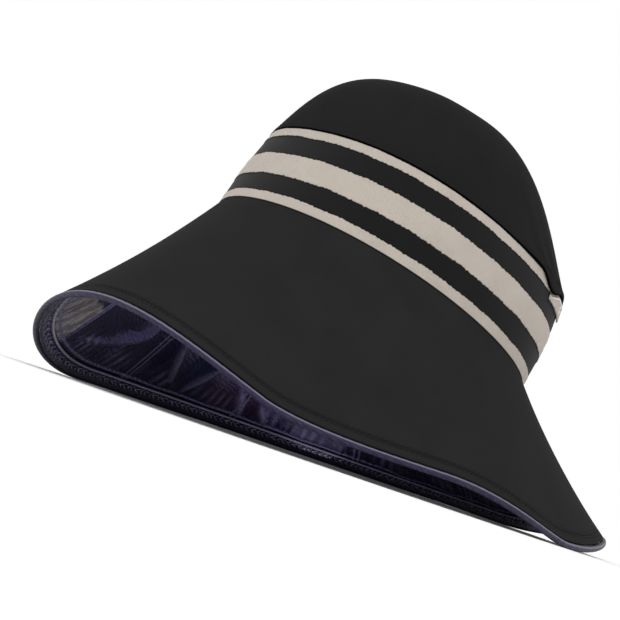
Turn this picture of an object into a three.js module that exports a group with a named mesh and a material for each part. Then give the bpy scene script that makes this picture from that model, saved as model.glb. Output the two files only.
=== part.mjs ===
// A soft sun hat: dome crown, band with three pale stripes, wide sloping brim with a gathered lining.
// Millimetres, +Z up. The rim rests on Z = 0, the wearer's front faces -Y and the wearer's left is +X.
// Angles go round the hat from the front, 0, by the wearer's left, a quarter turn, to the back.
import * as THREE from 'three';

// Crown rings, measured along the crown's own tilted axis from the seam between band and brim: each value
// at the seam, at the band's top, and how far it swells between. Squareness 2 is a plain ellipse.
const BAND_SECTIONS = {
  halfWidth: { seam: 86, top: 81.5, swell: 3 },
  halfLength: { seam: 100, top: 91.5, swell: 0 },
  squareness: { seam: 2.03, top: 2.25, swell: 0 },
  backset: { seam: 0, top: 1.5, swell: 0 },
};
const BAND_TOP = 49;
const SEAM_HEIGHT = 91;
const CROWN_TILT = 14.8;

// Dome over the band: it leans forward, and its back stands a little higher
const CROWN_HEIGHT = 108.5;
const DOME_START = 51.4;
const DOME_RISE_POWER = 2.2;
const DOME_WIDTH_POWER = 0.6;
const DOME_LEAN = 22;
const BACK_RISE = 0.12;

// Crown cap: wall, how far it stands proud of the band, and the soft fold that droops over the band
const CAP_WALL = 1.6;
const CAP_PROUD = 0.7;
const CAP_EDGE = BAND_TOP;
const FOLD_DROP = { angle: 111, halfWidth: 14, depth: 6 };
const FOLD_DROP_POWER = 1.5;
const FOLD_STANDOFF = { angle: 112, halfWidth: 36, depth: 2.2 };
const FOLD_REACH = 0.7;

// Band wall with shallow channels, and the stripes that lie in them almost flush
const BAND_WALL = 2.4;
const CHANNEL_DEPTH = 1.3;
const STRIPE_PROUD = 0.2;
const STRIPE_INNER = 1.0;
const SIDE_GAP = 0.15;
const BAND_FOOT = 0.3;
const STRIPES = [
  { name: 'stripe_bottom', from: 0.45, to: 6.1 },
  { name: 'stripe_middle', from: 16.8, to: 31.3 },
  { name: 'stripe_top', from: 42.9, to: 48.7 },
];

// Lapped end of the top stripe, behind the wearer's left side, below the crown's fold
const JOIN = { from: 39.4, to: 47.4, start: 111, end: 132, wall: 1.0, gap: 0.35, below: 0.9 };
const JOIN_STEPS = 5;

// Rim: an ellipse that arches at the front
const RIM_HALF_WIDTH = 151;
const RIM_HALF_LENGTH = 172;
const FRONT_ARCH = 41;
const FRONT_ARCH_SPREAD = 70;

// Slight waves that lift the rim by the wearer's left front and left back
const LEFT_WAVE = { angle: 71, halfWidth: 33, depth: 12.6 };
const LEFT_WAVE_POWER = 0.7;
const BACK_WAVE = { angle: 144, halfWidth: 39, depth: 8.8 };

// Brim layers, measured inward from the outer face
const BRIM_SAG = 2.2;
const EDGE_RADIUS = 1.7;
const LAYER_GAP = 0.4;
const CLOTH_WALL = 1.5;
const LINING_WALL = 1.0;
const HEM_WIDTH = 8;
const END_GAP = 0.35;
const GATHERS = 28;
const GATHER_DEPTH = 3.4;
const GATHER_SLANT = 0.9;
const GATHER_UNEVEN = 0.3;
const UNEVEN_WAVES = 5;
const GATHER_FULLNESS = 0.8;

// How finely the rings are cut
const CROWN_SIDES = 56;
const BRIM_SIDES = 112;
const DOME_SWEEPS = [0, 16, 32, 47, 60, 71, 80, 86.5];
const CAP_SKIRT_ROWS = [-1, -0.5];
const BRIM_ROWS = [0, 0.25, 0.6, 1];
const LINING_ROWS = [0, 0.18, 0.5, 0.82, 1];
const EDGE_SIDES = 8;

const UP = new THREE.Vector3(0, 0, 1);
const CROWN_HINGE = new THREE.Vector3(1, 0, 0);
const LINING_TOP = CLOTH_WALL + LAYER_GAP;
const STACK = LINING_TOP + LINING_WALL;
const EDGE_CORNER_RADIUS = EDGE_RADIUS / Math.cos(Math.PI / EDGE_SIDES);
const NORMAL_STEP = 0.004;
const radians = THREE.MathUtils.degToRad;

// Smooth hump: one in the middle, none beyond a distance of one
function hump(x) {
  return Math.abs(x) < 1 ? Math.cos((x * Math.PI) / 2) ** 2 : 0;
}

// Wave between zero and one, with its crest at zero
function swing(phase) {
  return (1 + Math.cos(phase)) / 2;
}

// Signed angle from one direction round the hat to another, within half a turn
function turnFrom(angle, centre) {
  return THREE.MathUtils.euclideanModulo(angle - centre + Math.PI, 2 * Math.PI) - Math.PI;
}

// Value of a band section at a height: from seam to top, with the swell between
function sectionAt({ seam, top, swell }, height) {
  const t = height / BAND_TOP;
  return seam + (top - seam) * t + swell * 4 * t * (1 - t);
}

// Direction of a ring's point: on a circle, or pushed out towards the corners of a rounded square
function roundedDirection(angle, squareness) {
  const x = Math.sin(angle);
  const y = -Math.cos(angle);
  const reach = (Math.abs(x) ** squareness + Math.abs(y) ** squareness) ** (-1 / squareness);
  return { x: x * reach, y: y * reach };
}

// From the crown's own frame to the hat's
function crownToHat(point) {
  return point.applyAxisAngle(CROWN_HINGE, -radians(CROWN_TILT)).add(new THREE.Vector3(0, 0, SEAM_HEIGHT));
}

// Point of the band at an angle and height, a distance out from its face
function bandPoint(angle, height, out) {
  const direction = roundedDirection(angle, sectionAt(BAND_SECTIONS.squareness, height));
  const x = (sectionAt(BAND_SECTIONS.halfWidth, height) + out) * direction.x;
  const y = (sectionAt(BAND_SECTIONS.halfLength, height) + out) * direction.y;
  return crownToHat(new THREE.Vector3(x, y + sectionAt(BAND_SECTIONS.backset, height), height));
}

// Point of the dome, from zero at its foot to one at its pole
function domePoint(angle, along) {
  const sweep = (along * Math.PI) / 2;
  const rise = Math.sin(sweep) ** DOME_RISE_POWER;
  const size = Math.cos(sweep) ** DOME_WIDTH_POWER;
  const direction = roundedDirection(angle, sectionAt(BAND_SECTIONS.squareness, DOME_START));
  const x = sectionAt(BAND_SECTIONS.halfWidth, DOME_START) * size * direction.x;
  const y = sectionAt(BAND_SECTIONS.halfLength, DOME_START) * size * direction.y;
  const height = DOME_START + (CROWN_HEIGHT - DOME_START) * rise + BACK_RISE * y * rise * rise;
  const backset = sectionAt(BAND_SECTIONS.backset, DOME_START) - DOME_LEAN * rise;
  return crownToHat(new THREE.Vector3(x, y + backset, height));
}

// How much of a local fold there is at an angle
function foldAt(fold, angle) {
  return hump(turnFrom(angle, radians(fold.angle)) / radians(fold.halfWidth));
}

// Height of the crown cap's lower edge on the band
function capEdge(angle) {
  return CAP_EDGE - FOLD_DROP.depth * foldAt(FOLD_DROP, angle) ** FOLD_DROP_POWER;
}

// Face of the crown cap: below zero its skirt over the band, from zero to one the dome to its pole
function capFace(angle, along) {
  if (along >= 0) {
    return domePoint(angle, along);
  }
  return bandPoint(angle, DOME_START + along * (DOME_START - capEdge(angle)), 0);
}

// Outward direction of the cap's face, from its slope round the hat and along the cap
function capNormal(angle, along) {
  if (along >= 1) {
    return UP.clone().applyAxisAngle(CROWN_HINGE, -radians(CROWN_TILT));
  }
  const step = NORMAL_STEP;
  const round = capFace(angle + step, along).sub(capFace(angle - step, along));
  const rise = capFace(angle, along + step).sub(capFace(angle, along - step));
  return round.cross(rise).normalize();
}

// Point of the cap at a depth inside its outer face, which stands off the band along the fold
function capPoint(angle, along, depth) {
  const fade = Math.max(0, 1 - Math.max(along, 0) / FOLD_REACH);
  const proud = CAP_PROUD + FOLD_STANDOFF.depth * foldAt(FOLD_STANDOFF, angle) * fade * fade;
  return capFace(angle, along).addScaledVector(capNormal(angle, along), proud - depth);
}

function rimHeight(angle) {
  const arch = FRONT_ARCH * hump(turnFrom(angle, 0) / radians(FRONT_ARCH_SPREAD));
  const leftWave = LEFT_WAVE.depth * foldAt(LEFT_WAVE, angle) ** LEFT_WAVE_POWER;
  const backWave = BACK_WAVE.depth * foldAt(BACK_WAVE, angle);
  return arch + leftWave + backWave;
}

// Middle of the rolled edge, which stands on the surface at the sides
function edgeCentre(angle) {
  return new THREE.Vector3(
    (RIM_HALF_WIDTH - EDGE_RADIUS) * Math.sin(angle),
    -(RIM_HALF_LENGTH - EDGE_RADIUS) * Math.cos(angle),
    rimHeight(angle) + EDGE_RADIUS,
  );
}

// Direction round the rim, level
function rimTangent(angle) {
  const tangent = new THREE.Vector3(RIM_HALF_WIDTH * Math.cos(angle), RIM_HALF_LENGTH * Math.sin(angle), 0);
  return tangent.normalize();
}

// Straight run of the brim at an angle: its top, its foot beside the rolled edge, and its outward side
function brimRun(angle) {
  const top = bandPoint(angle, 0, 0);
  const centre = edgeCentre(angle);
  const down = centre.clone().sub(top).normalize();
  const outward = down.cross(rimTangent(angle)).normalize();
  const foot = centre.addScaledVector(outward, STACK / 2);
  return { top, foot, outward, length: foot.distanceTo(top) };
}

// Point of the brim from the distance along its run to its foot, zero to one, and the depth inward
function brimPoint(angle, along, depth) {
  const { top, foot, outward } = brimRun(angle);
  const sag = BRIM_SAG * 4 * along * (1 - along);
  return top.lerp(foot, along).addScaledVector(outward, -sag - depth);
}

// Share of the brim's run that ends this far short of the middle of the rolled edge
function brimShare(angle, short) {
  return 1 - short / brimRun(angle).length;
}

// Depth of the lining's gathers: none where it is sewn, at the seam and at the hem
function gatherDepth(angle, along) {
  const wave = swing(GATHERS * angle + GATHER_SLANT * 2 * Math.PI * along);
  const uneven = 1 - GATHER_UNEVEN * swing(UNEVEN_WAVES * angle);
  return GATHER_DEPTH * wave * uneven * Math.sin(Math.PI * along) ** GATHER_FULLNESS;
}

// Triangles between rows of points, where every row is a ring round the hat and the last row joins the first
function ringGeometry(rows) {
  const sides = rows[0].length;
  const index = [];
  rows.forEach((row, r) => {
    const next = (r + 1) % rows.length;
    for (let i = 0; i < sides; i += 1) {
      const j = (i + 1) % sides;
      const a = r * sides + i;
      const b = r * sides + j;
      const c = next * sides + j;
      const d = next * sides + i;
      index.push(a, d, c, a, c, b);
    }
  });
  return geometryFrom(rows.flat(), index);
}

// Closed dome: rings from the outer pole down to the edge and up again to the inner pole
function domeGeometry(outerPole, rows, innerPole) {
  const sides = rows[0].length;
  const points = [outerPole, ...rows.flat(), innerPole];
  const lastRow = 1 + (rows.length - 1) * sides;
  const index = [];
  for (let i = 0; i < sides; i += 1) {
    const j = (i + 1) % sides;
    index.push(0, 1 + i, 1 + j);
    for (let r = 0; r < rows.length - 1; r += 1) {
      const a = 1 + r * sides + i;
      const b = 1 + r * sides + j;
      index.push(a, a + sides, b + sides, a, b + sides, b);
    }
    index.push(lastRow + i, points.length - 1, lastRow + j);
  }
  return geometryFrom(points, index);
}

function geometryFrom(points, index) {
  const geometry = new THREE.BufferGeometry();
  geometry.setFromPoints(points);
  geometry.setIndex(index);
  geometry.computeVertexNormals();
  return geometry;
}

// One ring round the hat, from a function of the angle
function ring(sides, pointAt) {
  return Array.from({ length: sides }, (_, i) => pointAt((i * 2 * Math.PI) / sides));
}

// Band ring with a given section, a list of heights and distances out, outer side first and downwards
function bandRing(section) {
  const corner = ([height, out]) => ring(CROWN_SIDES, (angle) => bandPoint(angle, height, out));
  return ringGeometry(section.map(corner));
}

// A cloth wall of the brim between two depths, cut in rows, outer side down and inner side up
function brimWall(rows, shareAt, outerDepth, innerDepth) {
  const layer = (along, depth) => ring(BRIM_SIDES, (angle) => {
    const share = shareAt(angle, along);
    return brimPoint(angle, share, depth(angle, along));
  });
  const outer = rows.map((along) => layer(along, outerDepth));
  const inner = rows.map((along) => layer(along, innerDepth));
  return ringGeometry([...outer, ...inner.reverse()]);
}

function crownCap() {
  const alongs = [...CAP_SKIRT_ROWS, ...DOME_SWEEPS.map((sweep) => sweep / 90)];
  const face = (depth) => alongs.map((along) => ring(CROWN_SIDES, (angle) => capPoint(angle, along, depth)));
  return domeGeometry(capPoint(0, 1, 0), [...face(0).reverse(), ...face(CAP_WALL)], capPoint(0, 1, CAP_WALL));
}

// The band's section is full between the stripes and cut back behind each stripe and under the cap
function bandWall() {
  const [bottom, middle, top] = STRIPES;
  const outer = [
    [DOME_START, -CHANNEL_DEPTH],
    [top.from - SIDE_GAP, -CHANNEL_DEPTH],
    [top.from - SIDE_GAP, 0],
    [middle.to + SIDE_GAP, 0],
    [middle.to + SIDE_GAP, -CHANNEL_DEPTH],
    [middle.from - SIDE_GAP, -CHANNEL_DEPTH],
    [middle.from - SIDE_GAP, 0],
    [bottom.to + SIDE_GAP, 0],
    [bottom.to + SIDE_GAP, -CHANNEL_DEPTH],
    [BAND_FOOT, -CHANNEL_DEPTH],
  ];
  return bandRing([...outer, [BAND_FOOT, -BAND_WALL], [DOME_START, -BAND_WALL]]);
}

function stripe({ from, to }) {
  const low = from + SIDE_GAP;
  const high = to - SIDE_GAP;
  return bandRing([[high, STRIPE_PROUD], [low, STRIPE_PROUD], [low, -STRIPE_INNER], [high, -STRIPE_INNER]]);
}

// Short strip laid over the top stripe: a four-sided section under the cap's edge, ends closed
function bandJoin() {
  const inner = STRIPE_PROUD + JOIN.gap;
  const outer = inner + JOIN.wall;
  const corners = 4;
  const points = [];
  const index = [];
  for (let i = 0; i <= JOIN_STEPS; i += 1) {
    const angle = radians(JOIN.start + ((JOIN.end - JOIN.start) * i) / JOIN_STEPS);
    const top = Math.min(JOIN.to, capEdge(angle) - JOIN.below);
    const section = [[top, outer], [JOIN.from, outer], [JOIN.from, inner], [top, inner]];
    section.forEach(([height, out]) => points.push(bandPoint(angle, height, out)));
  }
  for (let i = 0; i < JOIN_STEPS; i += 1) {
    for (let k = 0; k < corners; k += 1) {
      const a = i * corners + k;
      const d = i * corners + ((k + 1) % corners);
      index.push(a, d, d + corners, a, d + corners, a + corners);
    }
  }
  const last = JOIN_STEPS * corners;
  index.push(0, 3, 2, 0, 2, 1);
  index.push(last, last + 1, last + 2, last, last + 2, last + 3);
  return geometryFrom(points, index);
}

function brimOuter() {
  const short = EDGE_CORNER_RADIUS + END_GAP;
  return brimWall(BRIM_ROWS, (angle, along) => along * brimShare(angle, short), () => 0, () => CLOTH_WALL);
}

function brimLining() {
  const short = EDGE_CORNER_RADIUS + END_GAP + HEM_WIDTH + END_GAP;
  const upper = (angle, along) => LINING_TOP + gatherDepth(angle, along);
  const lower = (angle, along) => STACK + gatherDepth(angle, along);
  return brimWall(LINING_ROWS, (angle, along) => along * brimShare(angle, short), upper, lower);
}

function liningHem() {
  const short = EDGE_CORNER_RADIUS + END_GAP;
  const start = short + HEM_WIDTH;
  const shareAt = (angle, along) => brimShare(angle, start + (short - start) * along);
  return brimWall([0, 1], shareAt, () => LINING_TOP, () => STACK);
}

// Eight-sided roll round the rim, flat underneath, so that it stands on level faces at the sides
function brimEdge() {
  const rows = [];
  for (let k = 0; k < EDGE_SIDES; k += 1) {
    const turn = ((0.5 - k) * 2 * Math.PI) / EDGE_SIDES + Math.PI / 2;
    rows.push(ring(BRIM_SIDES, (angle) => {
      const outward = rimTangent(angle).cross(UP);
      const point = edgeCentre(angle).addScaledVector(outward, EDGE_CORNER_RADIUS * Math.cos(turn));
      return point.addScaledVector(UP, EDGE_CORNER_RADIUS * Math.sin(turn));
    }));
  }
  return ringGeometry(rows);
}

// Colours and finishes, one for each kind of cloth
const CLOTHS = {
  charcoal: new THREE.MeshStandardMaterial({ color: 0x27282a, roughness: 0.92, metalness: 0 }),
  bandDark: new THREE.MeshStandardMaterial({ color: 0x1f2125, roughness: 0.95, metalness: 0 }),
  greige: new THREE.MeshStandardMaterial({ color: 0xbcb3aa, roughness: 0.95, metalness: 0 }),
  indigo: new THREE.MeshStandardMaterial({ color: 0x1d1a2c, roughness: 0.38, metalness: 0 }),
  mauve: new THREE.MeshStandardMaterial({ color: 0x5a4a63, roughness: 0.5, metalness: 0 }),
};

const hat = new THREE.Group();

function addPiece(name, geometry, material) {
  const mesh = new THREE.Mesh(geometry, material);
  mesh.name = name;
  hat.add(mesh);
}

addPiece('crown_cap', crownCap(), CLOTHS.charcoal);
addPiece('band_wall', bandWall(), CLOTHS.bandDark);
STRIPES.forEach((row) => addPiece(row.name, stripe(row), CLOTHS.greige));
addPiece('band_join', bandJoin(), CLOTHS.greige);
addPiece('brim_outer', brimOuter(), CLOTHS.charcoal);
addPiece('brim_lining', brimLining(), CLOTHS.indigo);
addPiece('lining_hem', liningHem(), CLOTHS.indigo);
addPiece('brim_edge', brimEdge(), CLOTHS.mauve);

export default hat;
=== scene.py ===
import math

import bpy
import numpy as np
from mathutils import Matrix, Vector


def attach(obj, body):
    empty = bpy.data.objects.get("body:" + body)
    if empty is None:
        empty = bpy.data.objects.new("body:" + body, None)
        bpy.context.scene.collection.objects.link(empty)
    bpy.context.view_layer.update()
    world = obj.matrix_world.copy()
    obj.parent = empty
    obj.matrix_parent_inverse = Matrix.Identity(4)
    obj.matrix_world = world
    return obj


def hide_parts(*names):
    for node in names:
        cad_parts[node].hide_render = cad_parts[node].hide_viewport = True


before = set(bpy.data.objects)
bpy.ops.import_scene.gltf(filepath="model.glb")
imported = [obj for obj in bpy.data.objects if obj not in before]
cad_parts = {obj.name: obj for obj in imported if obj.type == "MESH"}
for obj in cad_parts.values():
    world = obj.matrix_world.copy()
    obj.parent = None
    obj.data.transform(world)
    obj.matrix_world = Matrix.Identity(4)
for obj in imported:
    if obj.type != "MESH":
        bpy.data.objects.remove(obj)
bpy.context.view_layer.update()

MM = 0.001
TURN = 2 * math.pi
QUARTER = math.pi / 2

# Crown rings along the crown's tilted axis: value at the brim seam, at the band's top, and swell between
HALF_WIDTH = (86, 81.5, 3)
HALF_LENGTH = (100, 91.5, 0)
SQUARENESS = (2.03, 2.25, 0)
BACKSET = (0, 1.5, 0)
BAND_TOP = 49
SEAM_HEIGHT = 91
CROWN_TILT = math.radians(14.8)

# Dome over the band
CROWN_HEIGHT = 108.5
DOME_START = 51.4
RISE_POWER = 2.2
WIDTH_POWER = 0.6
DOME_LEAN = 22
BACK_RISE = 0.12

# Crown cap, and the soft fold of its edge that droops over the band
CAP_WALL = 1.1
CAP_PROUD = 0.7
CAP_STEP = 0.004
DROOP = {"angle": 111, "spread": 14, "depth": 6, "power": 1.5}
STANDOFF = {"angle": 112, "spread": 36, "depth": 1.4, "power": 1}
FOLD_REACH = 0.7

# Creases that run up from the fold: angle at the cap's edge, lean on the way up, depth
CREASES = ((101, -22, 0.6), (111, -14, 0.9), (120, -6, 0.6))
CREASE_BREADTH = 6
CREASE_REACH = 0.75
CROWN_WAVE = 0.55
CROWN_WAVE_RISE = 0.15

# Band and its three pale stripes
BAND_WALL = 2.4
CHANNEL_DEPTH = 1.3
BAND_FOOT = -0.75
FOOT_SWING = 0.25
STRIPE_INNER = 1.0
STRIPE_PROUD = 0.2
SIDE_GAP = 0.15
STRIPES = {"stripe_bottom": (0.2, 6.1), "stripe_middle": (16.8, 31.3), "stripe_top": (42.9, 48.7)}
JOIN = {"low": 39.4, "high": 47.4, "start": 111, "end": 132, "wall": 1.0, "gap": 0.35, "below": 0.9}

# Rim and brim
RIM_HALF_WIDTH = 151
RIM_HALF_LENGTH = 172
FRONT_ARCH = {"angle": 0, "spread": 70, "depth": 41, "power": 1}
LEFT_WAVE = {"angle": 71, "spread": 33, "depth": 12.6, "power": 0.7}
BACK_WAVE = {"angle": 144, "spread": 39, "depth": 8.8, "power": 1}
BRIM_SAG = 2.2
EDGE_RADIUS = 1.7
CLOTH_WALL = 1.5
LINING_TOP = 1.9
STACK = 2.9
HEM_START = 10.1
LINING_END = 10.54
BRIM_END = 2.0
ROLL_GAP = 0.12
GATHERS = 28
GATHER_DEPTH = 3.4
GATHER_SLANT = 0.9
TOPSTITCH = (6.5, 8.5)

# Unevenness of each part: seed, whole turns round the hat, most turns along
CROWN_DRIFT = (3, (2, 3, 5, 7), 1.2)
STRIPE_DRIFT = (41, (30, 47, 75), 2)
JOIN_DRIFT = (51, (60, 97, 140), 0)
PUCKER_DRIFT = (61, (9, 14, 25), 0)
BRIM_DRIFT = (62, (3, 5, 8), 0.6)
GATHER_DRIFT = (71, (4, 7, 11), 0.8)
FINE_FOLD_DRIFT = (72, (6, 10, 17), 1.0)
CREST_DRIFT = (73, (7, 12), 1.0)
HEM_LEAN_DRIFT = (81, (5, 9), 0)
CRINKLE_DRIFT = (82, (11, 19, 31), 0)
ROLL_CREASE_DRIFT = (91, (13, 21, 34), 0)
ROLL_DRIFT = (92, (8, 13, 29), 0)


def hump(x):
    """Squared cosine: one at zero, none beyond a distance of one."""
    return np.where(np.abs(x) < 1, np.cos(np.clip(x, -1, 1) * QUARTER) ** 2, 0.0)


def swing(phase):
    """Cosine moved to between zero and one, with its crest at zero."""
    return (1 + np.cos(phase)) / 2


def joined(*parts):
    """Arrays one after another."""
    return np.concatenate(parts)


def turn_from(angle, centre):
    """Signed angle from a direction, within half a turn."""
    return (angle - centre + math.pi) % TURN - math.pi


def fold_at(fold, angle):
    """A fold's depth times a hump over its spread, raised to its power."""
    reach = turn_from(angle, math.radians(fold["angle"])) / math.radians(fold["spread"])
    return fold["depth"] * hump(reach) ** fold["power"]


def drift(angle, along, seed, rounds, rows, fall=0.5):
    """Smooth unevenness: a mean of cosines in whole turns round and free turns along, seeded phases."""
    made = np.random.default_rng(seed)
    total = 0.0
    weight = 0.0
    for round_count in rounds:
        turns = made.uniform(-rows, rows)
        share = (rounds[0] / round_count) ** fall
        total = total + share * np.cos(round_count * angle + TURN * (turns * along + made.uniform()))
        weight += share
    return total / weight


def section_at(section, height):
    """Seam value, plus its share of the way to the top value, plus a parabola of the swell."""
    seam, top, swell = section
    t = height / BAND_TOP
    return seam + (top - seam) * t + swell * 4 * t * (1 - t)


def ring_direction(angle, squareness):
    """Point of the curve where |x| to n plus |y| to n is one: a circle for n of two."""
    x = np.sin(angle)
    y = -np.cos(angle)
    reach = (np.abs(x) ** squareness + np.abs(y) ** squareness) ** (-1 / squareness)
    return x * reach, y * reach


def crown_to_hat(x, y, z):
    """Turn by the crown's tilt, then lift to the seam's height."""
    c = math.cos(CROWN_TILT)
    s = math.sin(CROWN_TILT)
    return np.stack(np.broadcast_arrays(x, c * y + s * z, SEAM_HEIGHT - s * y + c * z), -1)


def band_point(angle, height, out):
    """Ring direction times the half sizes at that height, each grown by the distance out."""
    dx, dy = ring_direction(angle, section_at(SQUARENESS, height))
    x = (section_at(HALF_WIDTH, height) + out) * dx
    y = (section_at(HALF_LENGTH, height) + out) * dy + section_at(BACKSET, height)
    return crown_to_hat(x, y, height)


def dome_point(angle, along):
    """Ring shrunk by a power of a cosine and raised by a power of a sine, leaning forward as it rises."""
    sweep = along * QUARTER
    rise = np.sin(sweep) ** RISE_POWER
    size = np.maximum(np.cos(sweep), 0) ** WIDTH_POWER
    dx, dy = ring_direction(angle, section_at(SQUARENESS, DOME_START))
    x = section_at(HALF_WIDTH, DOME_START) * size * dx
    y = section_at(HALF_LENGTH, DOME_START) * size * dy
    height = DOME_START + (CROWN_HEIGHT - DOME_START) * rise + BACK_RISE * y * rise**2
    return crown_to_hat(x, y + section_at(BACKSET, DOME_START) - DOME_LEAN * rise, height)


def cap_edge(angle):
    """Height of the cap's lower edge: the band's top less the drooping fold."""
    return BAND_TOP - fold_at(DROOP, angle)


def cap_face(angle, along, drop=0.0):
    """Skirt over the band below zero, dome from zero to one; drop lowers the skirt in millimetres."""
    fall = DOME_START - cap_edge(angle)
    skirt = band_point(angle, DOME_START + np.minimum(along, 0) * fall - drop, 0)
    dome = dome_point(angle, np.maximum(along, 0))
    return np.where((along < 0)[..., None], skirt, dome)


def rounded(near, radius):
    """Sink of a quarter-round edge at a distance from its end: the radius less a circle's height."""
    return radius - np.sqrt(np.maximum(radius**2 - np.maximum(radius - near, 0) ** 2, 0))


def end_shares(near, far, count, at_end=5):
    """Shares from zero to one, closer together within near of each end."""
    middle = np.linspace(far, 1 - far, count)
    return joined(np.linspace(0, near, at_end), middle, np.linspace(1 - near, 1, at_end))


def unit(vectors):
    """Vectors divided by their lengths."""
    return vectors / np.linalg.norm(vectors, axis=-1, keepdims=True)


def cap_outward(angle, along):
    """Cross product of small steps of the cap's face, round the hat and along."""
    around = cap_face(angle + CAP_STEP, along) - cap_face(angle - CAP_STEP, along)
    rise = cap_face(angle, along + CAP_STEP) - cap_face(angle, along - CAP_STEP)
    return unit(np.cross(around, rise))


def crown_relief(angle, along):
    """Slow waves that fade over the band, less creases: humps across lines that lean as they rise."""
    rise = hump(1 - np.clip(along + CROWN_WAVE_RISE, 0, 1))
    slow = CROWN_WAVE * drift(angle, along, *CROWN_DRIFT) * rise
    creases = 0.0
    for start, lean, depth in CREASES:
        middle = math.radians(start) + math.radians(lean) * along
        breadth = math.radians(CREASE_BREADTH)
        creases = creases + depth * hump(turn_from(angle, middle) / breadth) * hump(along / CREASE_REACH)
    return slow - creases


def cap_point(angle, along, depth, drop):
    """Cap's face moved out by its stand-off and relief, less the depth."""
    fade = np.maximum(0, 1 - np.maximum(along, 0) / FOLD_REACH)
    proud = CAP_PROUD + fold_at(STANDOFF, angle) * fade**2
    lift = proud + crown_relief(angle, along) - depth
    return cap_face(angle, along, drop) + cap_outward(angle, along) * lift[..., None]


def rim_height(angle):
    """Front arch and the slight waves by the left front and left back, each a hump over its spread."""
    return fold_at(FRONT_ARCH, angle) + fold_at(LEFT_WAVE, angle) + fold_at(BACK_WAVE, angle)


def edge_centre(angle):
    """Middle of the rolled edge: an ellipse, lifted by the rim's height and the roll's radius."""
    x = (RIM_HALF_WIDTH - EDGE_RADIUS) * np.sin(angle)
    y = -(RIM_HALF_LENGTH - EDGE_RADIUS) * np.cos(angle)
    return np.stack([x, y, rim_height(angle) + EDGE_RADIUS], -1)


def rim_tangent(angle):
    """Level direction round the rim's ellipse."""
    return unit(np.stack([RIM_HALF_WIDTH * np.cos(angle), RIM_HALF_LENGTH * np.sin(angle), 0 * angle], -1))


def brim_run(angle):
    """Straight run of the brim: its top at the seam, its foot beside the roll, outward side and length."""
    top = band_point(angle, 0 * angle, 0)
    centre = edge_centre(angle)
    outward = unit(np.cross(unit(centre - top), rim_tangent(angle)))
    foot = centre + outward * STACK / 2
    return top, foot, outward, np.linalg.norm(foot - top, axis=-1)


def brim_point(angle, share, short, depth):
    """Point at a share of the run that ends short of its foot, sagging as a parabola, less the depth."""
    top, foot, outward, length = brim_run(angle)
    along = share * (1 - short / length)
    sink = BRIM_SAG * 4 * along * (1 - along) + depth
    return top + (foot - top) * along[..., None] - outward * sink[..., None]


def brim_away(angle, share, short):
    """Distance from a point of the brim to the foot of its run."""
    length = brim_run(angle)[3]
    return length * (1 - share * (1 - short / length))


# Meshes from arrays
def ring_corners(rows, columns, loop):
    """Row and column numbers of each quad's corners, closed over the rows too if loop."""
    r, c = np.meshgrid(np.arange(rows - 1 + loop), np.arange(columns), indexing="ij")
    rows_of = np.stack([r, r, r + 1, r + 1], -1).reshape(-1, 4)
    columns_of = np.stack([c, c + 1, c + 1, c], -1).reshape(-1, 4)
    return rows_of, columns_of


def signed_volume(points, quads):
    """Sum of the tetrahedra from the origin to each quad's triangles."""
    a, b, c, d = (points[quads[:, k]] for k in range(4))
    return np.einsum("ij,ij->i", a, np.cross(b, c) + np.cross(c, d)).sum()


def add_object(name, data):
    """A new object in the scene."""
    made = bpy.data.objects.new(name, data)
    bpy.context.scene.collection.objects.link(made)
    return made


def put_mesh(name, points, quads, uv):
    """Mesh turned to face outwards; a quad with its last two corners alike is a triangle."""
    if signed_volume(points - points.mean(0), quads) < 0:
        quads = quads[:, ::-1]
        uv = uv[:, ::-1]
    keep = np.ones(quads.shape, bool)
    keep[quads == np.roll(quads, 1, axis=1)] = False
    sizes = keep.sum(1)
    mesh = bpy.data.meshes.new(name)
    mesh.vertices.add(len(points))
    mesh.vertices.foreach_set("co", (points * MM).astype(np.float32).ravel())
    mesh.loops.add(int(sizes.sum()))
    mesh.loops.foreach_set("vertex_index", quads[keep].astype(np.int32))
    mesh.polygons.add(len(quads))
    mesh.polygons.foreach_set("loop_start", (np.cumsum(sizes) - sizes).astype(np.int32))
    mesh.update(calc_edges=True)
    layer = mesh.uv_layers.new(name="cloth")
    layer.data.foreach_set("uv", uv[keep].astype(np.float32).ravel())
    mesh.validate()
    mesh.shade_smooth()
    return add_object(name, mesh)


def closed(values):
    """Without the last column, which repeats the first."""
    return values[:, :-1]


def ring_shell(name, points, uv, uv_round=0.0):
    """Closed tube of rings, whose UV is further on by uv_round where the last meets the first."""
    points = closed(points)
    uv = joined(uv, uv[:1] + uv_round)
    rows, columns = points.shape[:2]
    r, c = ring_corners(rows, columns, 1)
    return put_mesh(name, points.reshape(-1, 3), (r % rows) * columns + c % columns, uv[r, c])


def dome_shell(name, points, uv, poles):
    """Closed dome: rings from the outer pole to the edge and back to the inner pole."""
    rows, columns = points.shape[:2]
    r, c = ring_corners(rows, columns, 0)
    quads = r * columns + c % columns
    faces_uv = uv[r, c]
    around = np.arange(columns)
    for row, pole in ((0, rows * columns), (rows - 1, rows * columns + 1)):
        ends = (around, (around + 1) % columns) if row else ((around + 1) % columns, around)
        fan = [row * columns + ends[0], row * columns + ends[1], 0 * around + pole, 0 * around + pole]
        wide = (around, around + 1) if row else (around + 1, around)
        middle = uv[row].mean(0) + 0 * uv[row, wide[0]]
        fan_uv = [uv[row, wide[0]], uv[row, wide[1]], middle, middle]
        quads = joined(quads, np.stack(fan, -1))
        faces_uv = joined(faces_uv, np.stack(fan_uv, 1))
    return put_mesh(name, joined(points.reshape(-1, 3), poles), quads, faces_uv)


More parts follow.
